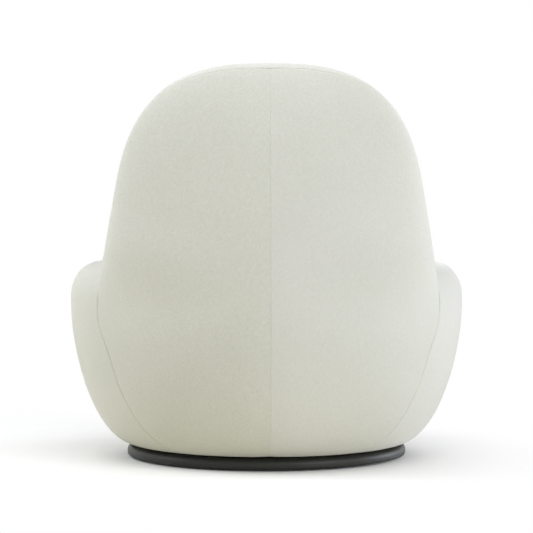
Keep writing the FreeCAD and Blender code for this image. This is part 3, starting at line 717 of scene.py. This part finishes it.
# %% Plan of the cushion
CUSHION_FOOT = 0.2505
CUSHION_EDGE = 0.374
CUSHION_MIDDLE = (0.0, -0.13)
CUSHION_CROWN = 0.012
CUSHION_SIDE = 0.262
CUSHION_REAR = 0.150
REAR_RADIUS, NOSE_RADIUS = 0.266, 0.421
SIDES_FROM, SIDES_TO = -0.046, -0.2355
CORNER_CENTRE_X = 0.158
CORNER_WIDE, CORNER_LONG = 0.104, 0.1547
WING_X = 0.2408


def in_cushion(x, y):
    """Rounded plan: circle at the sides, hollow rear edge, nose over the apron."""
    x = abs(x)
    if y > SIDES_FROM:
        hollow = CUSHION_REAR - WING_REACH * (x / WING_X) ** 2
        return math.hypot(x, y) < REAR_RADIUS and y < hollow
    if y > SIDES_TO:
        return x < CUSHION_SIDE
    if x > CORNER_CENTRE_X:
        across, along = (x - CORNER_CENTRE_X) / CORNER_WIDE, (y - SIDES_TO) / CORNER_LONG
        return across ** 2 + along ** 2 < 1
    return math.hypot(x, y) < NOSE_RADIUS


def cushion_edge(angle, inset, z):
    way = reach_from(CUSHION_MIDDLE, angle, in_cushion) - inset
    return from_middle(CUSHION_MIDDLE, angle, way, z)


rim_reach = [reach_from(CUSHION_MIDDLE, math.radians(a), in_cushion) for a in range(361)]
print("nose of the cushion", [round(c, 3) for c in cushion_edge(0, 0, CUSHION_EDGE)])

# %% Bag of the cushion
BAG_INSET = 0.007
BAG_LIFT = 0.008
BAG_ROUND = 0.014
VOXEL = 0.0062

bag_bm = bmesh.new()
bmesh.ops.create_circle(bag_bm, cap_ends=True, segments=160, radius=1.0)
for v in bag_bm.verts:
    v.co = cushion_edge(math.atan2(v.co.x, -v.co.y), BAG_INSET, CUSHION_FOOT + BAG_LIFT)
raise_block(bag_bm, CUSHION_EDGE - CUSHION_FOOT - BAG_LIFT, BAG_ROUND, 4)
bag = piece_from(bag_bm, "seat_cushion", smoothing=0)


def applied(piece):
    """Replace a piece's mesh by what its modifiers make of it."""
    graph = bpy.context.evaluated_depsgraph_get()
    made = bpy.data.meshes.new_from_object(piece.evaluated_get(graph))
    piece.modifiers.clear()
    piece.data = made
    made.shade_smooth()


remesh = bag.modifiers.new("even cloth", "REMESH")
remesh.mode = "VOXEL"
remesh.voxel_size = VOXEL
applied(bag)
for v in bag.data.vertices:
    x, y = v.co.x - CUSHION_MIDDLE[0], v.co.y - CUSHION_MIDDLE[1]
    turn = math.degrees(math.atan2(x, -y)) % 360
    share = min(math.hypot(x, y) / rim_reach[round(turn)], 1.0)
    height = (v.co.z - CUSHION_FOOT) / (CUSHION_EDGE - CUSHION_FOOT)
    v.co.z += CUSHION_CROWN * (1 - share ** 3) * height
print("cloth of the bag", len(bag.data.vertices), "vertices")

# %% Where the seam of the bag runs
SEAM_INSET = 0.009
SEAM_HEIGHTS = (CUSHION_EDGE - 0.006, CUSHION_FOOT + 0.014)

cloth = kdtree.KDTree(len(bag.data.vertices))
for v in bag.data.vertices:
    cloth.insert(v.co, v.index)
cloth.balance()
seam_rows = []
for z in SEAM_HEIGHTS:
    edge_line = [cushion_edge(math.radians(a), SEAM_INSET, z) for a in range(360)]
    seam_rows.append([cloth.find(p)[1] for p in edge_line])
print("vertices along the seams", [len(set(row)) for row in seam_rows])

# %% Fill the bag with air
FILL_CAP = 0.024
AIR_PRESSURE = 4.0
FILL_FRAMES = 20

before_filling = [v.co.copy() for v in bag.data.vertices]
air = bag.modifiers.new("air", "CLOTH")
air.settings.quality = 5
air.settings.use_pressure = True
air.settings.uniform_pressure_force = AIR_PRESSURE
air.settings.effector_weights.gravity = 0.0
air.settings.tension_stiffness = 25.0
air.settings.compression_stiffness = 25.0
air.settings.bending_stiffness = 2.0
air.point_cache.frame_end = FILL_FRAMES
for step in range(1, FILL_FRAMES + 1):
    scene.frame_set(step)
applied(bag)
scene.frame_set(1)
for v, start in zip(bag.data.vertices, before_filling):
    move = v.co - start
    if move.length > 1e-6:
        v.co = start + move * (FILL_CAP * math.tanh(move.length / FILL_CAP) / move.length)
print("cushion height", [round(f(v.co.z for v in bag.data.vertices), 4) for f in (min, max)])

# %% Let the cushion rest
REST_GAP = 0.0030
RING_TOP, RING_INSIDE, RING_OUTSIDE = 3.5, 5.0, 2.0
TOP_HALVINGS = 18


def ring_height(x, y):
    """Top surface of the arms and apron over a place, or nothing inside the well."""
    radius = math.hypot(x, y)
    if radius <= WELL:
        return None
    angle = math.degrees(math.acos(max(-1.0, min(1.0, y / radius))))
    outside = radius > ring_point(angle, RING_TOP)[0]
    low, high = RING_TOP, RING_OUTSIDE if outside else RING_INSIDE
    for _ in range(TOP_HALVINGS):
        middle = (low + high) / 2
        if (ring_point(angle, middle)[0] - radius) * (RING_TOP - high) < 0:
            low = middle
        else:
            high = middle
    return ring_point(angle, low)[1]


def rested(p):
    """Where a point of the cushion lies once its neighbours hold it."""
    x, y, z = p
    z = max(z, CUSHION_FOOT)
    radius = math.hypot(x, y)
    front = pad_front(x, z) - REST_GAP
    if y > front:
        y = front
    over = ring_height(x, y)
    if over is not None and z < over + REST_GAP:
        lift = over + REST_GAP - z
        inward = radius - (WELL - REST_GAP)
        if inward < lift:
            x, y = x * (1 - inward / radius), y * (1 - inward / radius)
        else:
            z = over + REST_GAP
    return Vector((x, y, z))


for v in bag.data.vertices:
    v.co = rested(v.co)
print("front of the cushion", round(min(v.co.y for v in bag.data.vertices), 4))

# %% Sew the cushion
CUSHION_STITCH, CUSHION_STITCH_REACH = 0.0024, 0.0042
EVENING_ROUNDS = 6


def evened(points, rounds):
    """A closed line of points, each drawn to the middle of its neighbours."""
    for _ in range(rounds):
        points = [(points[i - 1] + points[i] * 2 + points[(i + 1) % len(points)]) / 4
                  for i in range(len(points))]
    return points


cloth_places = [v.co.copy() for v in bag.data.vertices]
seam_lines = [evened([cloth_places[i] for i in row], EVENING_ROUNDS) for row in seam_rows]
finer = bag.modifiers.new("finer", "SUBSURF")
finer.levels = 1
finer.render_levels = 1
applied(bag)
bag_bm = bmesh.new()
bag_bm.from_mesh(bag.data)
print("cushion sunk",
      [sink(bag_bm, line, CUSHION_STITCH, CUSHION_STITCH_REACH) for line in seam_lines])
bag_bm.to_mesh(bag.data)
bag_bm.free()
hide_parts("seat_cover", "seat_foam")

# %% [markdown]
# ## Base shell
# The foot is a low round shell of pressed steel with a soft shoulder, which shows
# as one smooth band of light below the seat. A sharp polygon with a Bevel modifier
# would do, but it is plainer to draw one side of the section with a few points,
# round its corners with a vertex bevel, and spin it once round the axis.

# %% Press the base shell
base_low, base_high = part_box("base_cover")
BASE_RADIUS = (base_high[0] - base_low[0]) / 2
FOOT_GAP = 0.0022
BASE_FOOT, BASE_TOP = base_low[2] + FOOT_GAP, base_high[2]
SHEET = 0.002
LIP = 0.0065
PIN_HOLE = 0.0081
SECTION = (
    (PIN_HOLE, BASE_TOP), (BASE_RADIUS, BASE_TOP), (BASE_RADIUS, BASE_FOOT),
    (BASE_RADIUS - LIP, BASE_FOOT), (BASE_RADIUS - LIP, BASE_FOOT + SHEET),
    (BASE_RADIUS - SHEET, BASE_FOOT + LIP), (BASE_RADIUS - SHEET, BASE_TOP - SHEET),
    (PIN_HOLE, BASE_TOP - SHEET))
ROUNDED_CORNERS = ((1, 0.0135), (2, 0.0040), (6, 0.0115))

shell_bm = bmesh.new()
corners = [shell_bm.verts.new((x, 0, z)) for x, z in SECTION]
for k, corner in enumerate(corners):
    shell_bm.edges.new((corner, corners[(k + 1) % len(corners)]))
for k, radius in ROUNDED_CORNERS:
    bmesh.ops.bevel(shell_bm, geom=[corners[k]], offset=radius, offset_type="OFFSET",
                    segments=8, profile=0.5, affect="VERTICES", material=-1)
print("points round the section", len(shell_bm.verts))
bmesh.ops.spin(shell_bm, geom=shell_bm.verts[:] + shell_bm.edges[:], cent=(0, 0, 0),
               axis=(0, 0, 1), angle=2 * math.pi, steps=192, use_merge=True)
bmesh.ops.remove_doubles(shell_bm, verts=shell_bm.verts[:], dist=0.00001)
bmesh.ops.recalc_face_normals(shell_bm, faces=shell_bm.faces[:])
print("base shell, open edges", sum(e.is_boundary for e in shell_bm.edges))
base_shell = piece_from(shell_bm, "base_shell", smoothing=0)
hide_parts("base_cover")

# %% [markdown]
# ## Velvet
# The chair wears a pale, short velvet. Four things make it: a soft pile that
# lightens wherever it is seen edge on, clouds of tone as wide as a hand, short
# slanted streaks where the pile has been brushed, and a fine grain. The first is
# the shader's sheen. The clouds are noise in colour alone, the streaks and the
# grain are noise in colour and in bump.

# %% Parts of a material


def material(name):
    """An empty material with its shader and the coordinates of the piece."""
    made = bpy.data.materials.new(name)
    made.use_nodes = True
    nodes = made.node_tree.nodes
    place = nodes.new("ShaderNodeTexCoord")
    return made, nodes, made.node_tree.links, nodes["Principled BSDF"], place.outputs["Object"]


def noise_node(nodes, links, place, scale, detail, rough):
    made = nodes.new("ShaderNodeTexNoise")
    made.inputs["Scale"].default_value = scale
    made.inputs["Detail"].default_value = detail
    made.inputs["Roughness"].default_value = rough
    links.new(place, made.inputs["Vector"])
    return made.outputs["Fac"]


def two_tones(nodes, links, factor, low, high, start=0.3, end=0.7):
    """Colours that a noise runs between."""
    made = nodes.new("ShaderNodeValToRGB")
    made.color_ramp.elements[0].position = start
    made.color_ramp.elements[0].color = (*low, 1)
    made.color_ramp.elements[1].position = end
    made.color_ramp.elements[1].color = (*high, 1)
    links.new(factor, made.inputs["Fac"])
    return made.outputs["Color"]


def sum_of(nodes, links, parts):
    """Weighted sum of several noises."""
    total = None
    for factor, weight in parts:
        times = nodes.new("ShaderNodeMath")
        times.operation = "MULTIPLY_ADD"
        links.new(factor, times.inputs[0])
        times.inputs[1].default_value = weight
        times.inputs[2].default_value = 0.0
        if total is not None:
            links.new(total, times.inputs[2])
        total = times.outputs[0]
    return total


def bumped(nodes, links, shader, height, strength, distance):
    bump = nodes.new("ShaderNodeBump")
    bump.inputs["Strength"].default_value = strength
    bump.inputs["Distance"].default_value = distance
    links.new(height, bump.inputs["Height"])
    links.new(bump.outputs["Normal"], shader.inputs["Normal"])


print("materials so far", len(bpy.data.materials))

# %% Velvet
CLOUD_SCALE, STREAK_SCALE, GRAIN_SCALE = 3.6, 360.0, 620.0
STREAK_SLANT = math.radians(-42)
STREAK_LENGTH = 2.8
TONE_SPREAD = (0.36, 0.64)
CLOUD_SHARE, STREAK_SHARE, GRAIN_SHARE = 0.26, 0.42, 0.32
PILE_STREAKS, PILE_GRAIN = 0.6, 0.4
PILE_STRENGTH, PILE_HEIGHT = 0.60, 0.0015


def pale_velvet(name, foot, head, start, end):
    """Short pile: clouds a hand wide, streaks where it was brushed, and grain. The tones run from
    the foot's pair to the head's pair between two heights, which paints light and shade into the
    colour."""
    made, nodes, links, shader, place = material(name)
    slanted = nodes.new("ShaderNodeMapping")
    slanted.vector_type = "TEXTURE"
    slanted.inputs["Rotation"].default_value = (0, STREAK_SLANT, 0)
    slanted.inputs["Scale"].default_value = (1.0, 1.0, STREAK_LENGTH)
    links.new(place, slanted.inputs["Vector"])
    clouds = noise_node(nodes, links, place, CLOUD_SCALE, 2.0, 0.5)
    streaks = noise_node(nodes, links, slanted.outputs["Vector"], STREAK_SCALE, 2.0, 0.6)
    grain = noise_node(nodes, links, place, GRAIN_SCALE, 3.0, 0.6)
    tone = sum_of(nodes, links, [(clouds, CLOUD_SHARE), (streaks, STREAK_SHARE),
                                 (grain, GRAIN_SHARE)])
    # Painted light and shade: the colour shifts with height from the foot's tones to the head's.
    height = nodes.new("ShaderNodeSeparateXYZ")
    links.new(place, height.inputs[0])
    rise = nodes.new("ShaderNodeMapRange")
    rise.inputs["From Min"].default_value = start
    rise.inputs["From Max"].default_value = end
    links.new(height.outputs["Z"], rise.inputs["Value"])
    blend = nodes.new("ShaderNodeMix")
    blend.data_type = "RGBA"
    links.new(rise.outputs["Result"], blend.inputs["Factor"])
    links.new(two_tones(nodes, links, tone, *foot, *TONE_SPREAD), blend.inputs["A"])
    links.new(two_tones(nodes, links, tone, *head, *TONE_SPREAD), blend.inputs["B"])
    links.new(blend.outputs["Result"], shader.inputs["Base Color"])
    pile = sum_of(nodes, links, [(streaks, PILE_STREAKS), (grain, PILE_GRAIN)])
    bumped(nodes, links, shader, pile, PILE_STRENGTH, PILE_HEIGHT)
    shader.inputs["Roughness"].default_value = 0.92
    shader.inputs["Specular IOR Level"].default_value = 0.20
    shader.inputs["Sheen Weight"].default_value = 0.60
    shader.inputs["Sheen Roughness"].default_value = 0.45
    return made


# %% [markdown]
# Each cover gets its own copy of the velvet, with light and shade painted into its colour: the
# left panel, left arm and apron are painted darker low down, the right panel paler below the
# shoulders, the right arm's wall paler and its top darker, and the inside back and cushion paler,
# most towards the crest. Each version has a dark and a light tone at its foot and at its head.

# %% Upholster the covers
# The velvet of the left panel, left arm and apron is painted darker at its foot than at its head:
# painted shade low down. Its head tones are shared with the right panel.
PAINTED_LIGHT_HEAD_TONES = ((0.552, 0.556, 0.508), (0.650, 0.654, 0.622))
velvet = pale_velvet("pale_velvet", ((0.526, 0.530, 0.474), (0.628, 0.632, 0.592)),
                     PAINTED_LIGHT_HEAD_TONES, 0.06, 0.42)
# The right panel is painted paler below the shoulders, fading into the shared head tones towards
# the crest: painted light from the lamps on the right.
velvet_right_painted_light = pale_velvet("pale_velvet_right_painted_light", ((0.582, 0.586, 0.556), (0.655, 0.659, 0.645)),
                           PAINTED_LIGHT_HEAD_TONES, 0.44, 0.84)
# The right arm's outer wall is painted paler, painted light from the right, and its top is painted
# darker, painted shade.
velvet_arm_painted_light_and_shade = pale_velvet("pale_velvet_arm_painted_light_and_shade", ((0.594, 0.598, 0.574), (0.668, 0.672, 0.662)),
                         ((0.505, 0.509, 0.473), (0.582, 0.586, 0.558)), 0.32, 0.42)
# The inside back and cushion get a paler copy, painted paler still towards the crest: painted
# light.
velvet_front_painted_light = pale_velvet("pale_velvet_front_painted_light", ((0.560, 0.564, 0.512), (0.656, 0.660, 0.622)),
                           ((0.600, 0.604, 0.566), (0.686, 0.690, 0.664)), 0.44, 0.84)


def dress(piece, finish):
    """Give a piece one finish and no other."""
    piece.data.materials.clear()
    piece.data.materials.append(finish)


for piece, finish in ((outside_left, velvet), (outside_right, velvet_right_painted_light),
                      (inside_back, velvet_front_painted_light), (arm_left, velvet), (arm_right, velvet_arm_painted_light_and_shade),
                      (apron, velvet), (bag, velvet_front_painted_light)):
    dress(piece, finish)
    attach(piece, "seat_body")
print("velvets", sum(m.name.startswith("pale_velvet") for m in bpy.data.materials))

# %% Plain finishes


def plain(name, low, high, scale, rough, metallic=0.0, bump=0.2, stretch=None, shine=0.5):
    """A finish with two close tones, for pieces that need less."""
    made, nodes, links, shader, place = material(name)
    if stretch:
        mapping = nodes.new("ShaderNodeMapping")
        mapping.inputs["Scale"].default_value = stretch
        links.new(place, mapping.inputs["Vector"])
        place = mapping.outputs["Vector"]
    factor = noise_node(nodes, links, place, scale, 4.0, 0.55)
    links.new(two_tones(nodes, links, factor, low, high), shader.inputs["Base Color"])
    bumped(nodes, links, shader, factor, bump, 0.0004)
    shader.inputs["Roughness"].default_value = rough
    shader.inputs["Metallic"].default_value = metallic
    shader.inputs["Specular IOR Level"].default_value = shine
    return made


charcoal = plain("charcoal_metal", (0.015, 0.015, 0.013), (0.023, 0.023, 0.020), 900.0,
                 0.46, bump=0.08, shine=0.33)
plywood = plain("plywood", (0.40, 0.25, 0.12), (0.56, 0.38, 0.20), 22.0,
                0.6, bump=0.2, stretch=(1, 1, 14))
steel = plain("zinc_steel", (0.44, 0.45, 0.46), (0.58, 0.59, 0.60), 60.0,
              0.32, metallic=1.0, bump=0.1)
nylon = plain("black_nylon", (0.02, 0.02, 0.02), (0.03, 0.03, 0.03), 300.0, 0.5)
cage_plastic = plain("cage_plastic", (0.56, 0.53, 0.42), (0.64, 0.61, 0.50), 200.0, 0.45)
webbing = plain("webbing", (0.022, 0.022, 0.024), (0.050, 0.050, 0.054), 420.0,
                0.9, bump=0.5, stretch=(1, 1, 3))
lining = plain("black_lining", (0.012, 0.012, 0.013), (0.028, 0.028, 0.030), 700.0,
               0.95, bump=0.5)
cotton = plain("deck_cotton", (0.50, 0.48, 0.38), (0.60, 0.58, 0.48), 800.0, 0.9, bump=0.6)
wadding_white = plain("polyester_wadding", (0.72, 0.72, 0.70), (0.85, 0.85, 0.83), 90.0,
                      0.95, bump=0.8)
FINISHES = {"charcoal_metal": charcoal, "plywood": plywood, "steel": steel, "nylon": nylon,
            "cage_plastic": cage_plastic, "webbing": webbing, "dust_cloth": lining}
print("finishes", len(FINISHES))

# %% Give every kept node its finish
slot_of = {row["node"]: row["material_slot"] for row in frame["record"]["subparts"]}
for name, node in frame["nodes"].items():
    if node.hide_render:
        continue
    dress(node, FINISHES.get(slot_of.get(name), plywood))
kept = [node for node in frame["nodes"].values() if not node.hide_render]
print("nodes with a slot", len(slot_of), "kept", len(kept))

for piece, finish, slot, body in ((deck, cotton, "deck_cloth", "seat_body"),
                                  (wadding, wadding_white, "foam", "seat_body"),
                                  (base_shell, charcoal, "charcoal_metal", "base")):
    dress(piece, finish)
    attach(piece, body)

for piece, fill in ((outside_left, 0.9), (outside_right, 0.9), (inside_back, 0.9), (arm_left, 0.9),
                    (arm_right, 0.9), (apron, 0.9), (bag, 0.8), (deck, 0.7), (wadding, 0.7)):
    print(piece.name, "padded, fill", fill)

# %% [markdown]
# ## Floor and light
# The studio is white: a floor that the camera sees as plain white, except where the chair shades
# it, and a white world. The floor fades to white round a point off to one side of the chair, which
# paints the chair's shadow paler on the far side: painted light. The light comes softly from above
# and from both sides, so that the pile lights up along the outline.

# %% Rays that see the studio


def plainly_seen(nodes, links):
    """1 for the camera's own rays and for those through glass or off a mirror."""
    ray = nodes.new("ShaderNodeLightPath")
    straight = nodes.new("ShaderNodeMath")
    straight.operation = "MAXIMUM"
    any_view = nodes.new("ShaderNodeMath")
    any_view.operation = "MAXIMUM"
    links.new(ray.outputs["Is Camera Ray"], straight.inputs[0])
    links.new(ray.outputs["Is Transmission Ray"], straight.inputs[1])
    links.new(straight.outputs[0], any_view.inputs[0])
    links.new(ray.outputs["Is Glossy Ray"], any_view.inputs[1])
    return any_view.outputs[0]


def emptied(tree):
    """The nodes and links of a tree, with what it began with taken out."""
    tree.nodes.clear()
    return tree.nodes, tree.links


# %% Floor
FLOOR_SIZE = 12.0
FLOOR_DROP = 0.0003
BOUNCE = (0.80, 0.77, 0.64, 1)
PAPER = (0.86, 0.86, 0.86, 1)
SHADOW_LIFT = 0.008
# The fade is centred off the chair towards +x, so the chair's shadow on the -x side is washed out
# to white sooner: painted light on the floor.
FADE_CENTRE = (0.35, 0.08, 0.0)
FADE_FROM, FADE_TO = 0.52, 1.04

floor_bm = bmesh.new()
bmesh.ops.create_grid(floor_bm, x_segments=1, y_segments=1, size=FLOOR_SIZE)
bmesh.ops.translate(floor_bm, vec=(0, 0, -FLOOR_DROP), verts=floor_bm.verts[:])
floor = piece_from(floor_bm, "floor", smoothing=0)
floor_paint = bpy.data.materials.new("floor_white")
floor_paint.use_nodes = True
nodes, links = emptied(floor_paint.node_tree)
place = nodes.new("ShaderNodeTexCoord")
shifted = nodes.new("ShaderNodeVectorMath")
shifted.operation = "SUBTRACT"
shifted.inputs[1].default_value = FADE_CENTRE
distance = nodes.new("ShaderNodeVectorMath")
distance.operation = "LENGTH"
fade = nodes.new("ShaderNodeMapRange")
fade.interpolation_type = "SMOOTHSTEP"
fade.inputs["From Min"].default_value = FADE_FROM
fade.inputs["From Max"].default_value = FADE_TO
links.new(place.outputs["Object"], shifted.inputs[0])
links.new(shifted.outputs[0], distance.inputs[0])
links.new(distance.outputs["Value"], fade.inputs["Value"])

# %% Paint the floor
paper = nodes.new("ShaderNodeBsdfDiffuse")
paper.inputs["Color"].default_value = PAPER
lift = nodes.new("ShaderNodeEmission")
lift.inputs["Strength"].default_value = SHADOW_LIFT
near = nodes.new("ShaderNodeAddShader")
links.new(paper.outputs[0], near.inputs[0])
links.new(lift.outputs[0], near.inputs[1])
far = nodes.new("ShaderNodeEmission")
far.inputs["Strength"].default_value = 1.0
pale = nodes.new("ShaderNodeMixShader")
links.new(fade.outputs["Result"], pale.inputs["Fac"])
links.new(near.outputs[0], pale.inputs[1])
links.new(far.outputs[0], pale.inputs[2])
dull = nodes.new("ShaderNodeBsdfDiffuse")
dull.inputs["Color"].default_value = BOUNCE
seen = nodes.new("ShaderNodeMixShader")
links.new(plainly_seen(nodes, links), seen.inputs["Fac"])
links.new(dull.outputs[0], seen.inputs[1])
links.new(pale.outputs[0], seen.inputs[2])
out = nodes.new("ShaderNodeOutputMaterial")
links.new(seen.outputs[0], out.inputs["Surface"])
dress(floor, floor_paint)
print("floor fades to white between", FADE_FROM, "and", FADE_TO, "m")

# %% World
SOFT_LIGHT = 0.30

world = bpy.data.worlds.new("studio")
scene.world = world
world.use_nodes = True
nodes, links = emptied(world.node_tree)
soft = nodes.new("ShaderNodeBackground")
soft.inputs["Color"].default_value = (1, 1, 1, 1)
soft.inputs["Strength"].default_value = SOFT_LIGHT
white = nodes.new("ShaderNodeBackground")
white.inputs["Color"].default_value = (1, 1, 1, 1)
white.inputs["Strength"].default_value = 1.0
mix = nodes.new("ShaderNodeMixShader")
links.new(plainly_seen(nodes, links), mix.inputs["Fac"])
links.new(soft.outputs[0], mix.inputs[1])
links.new(white.outputs[0], mix.inputs[2])
out = nodes.new("ShaderNodeOutputWorld")
links.new(mix.outputs[0], out.inputs["Surface"])
print("world", world.name, "soft light", SOFT_LIGHT)

# %% Lamps


def lamp(name, place, target, size, power, colour=(1, 1, 1)):
    light = bpy.data.lights.new(name, "AREA")
    light.shape = "SQUARE"
    light.size = size
    light.energy = power
    light.color = colour
    holder = bpy.data.objects.new(name, light)
    scene.collection.objects.link(holder)
    holder.location = place
    way = Vector(target) - Vector(place)
    holder.rotation_mode = "QUATERNION"
    holder.rotation_quaternion = way.to_track_quat("-Z", "Y")
    print(name, "lamp,", power, "W")


lamp("top", (-0.3, 1.2, 3.3), (0, 0, 0.3), 3.0, 56, (1.0, 0.98, 0.97))
lamp("rear right", (-2.7, 2.7, 1.3), (0, 0, 0.35), 2.2, 55, (0.94, 0.985, 1.0))
lamp("high left", (1.7, 0.6, 2.8), (0, 0, 0.40), 2.4, 22, (1.0, 1.0, 0.92))
lamp("left side", (3.1, 0.1, 2.3), (0, 0, 0.45), 2.0, 58, (0.90, 0.94, 1.0))
lamp("right rim", (-3.2, -1.2, 0.50), (0, 0, 0.40), 1.8, 61, (0.84, 0.88, 1.0))
lamp("front fill", (0.5, -3.4, 1.8), (0, 0, 0.40), 2.4, 26)
scene.view_settings.view_transform = "Standard"
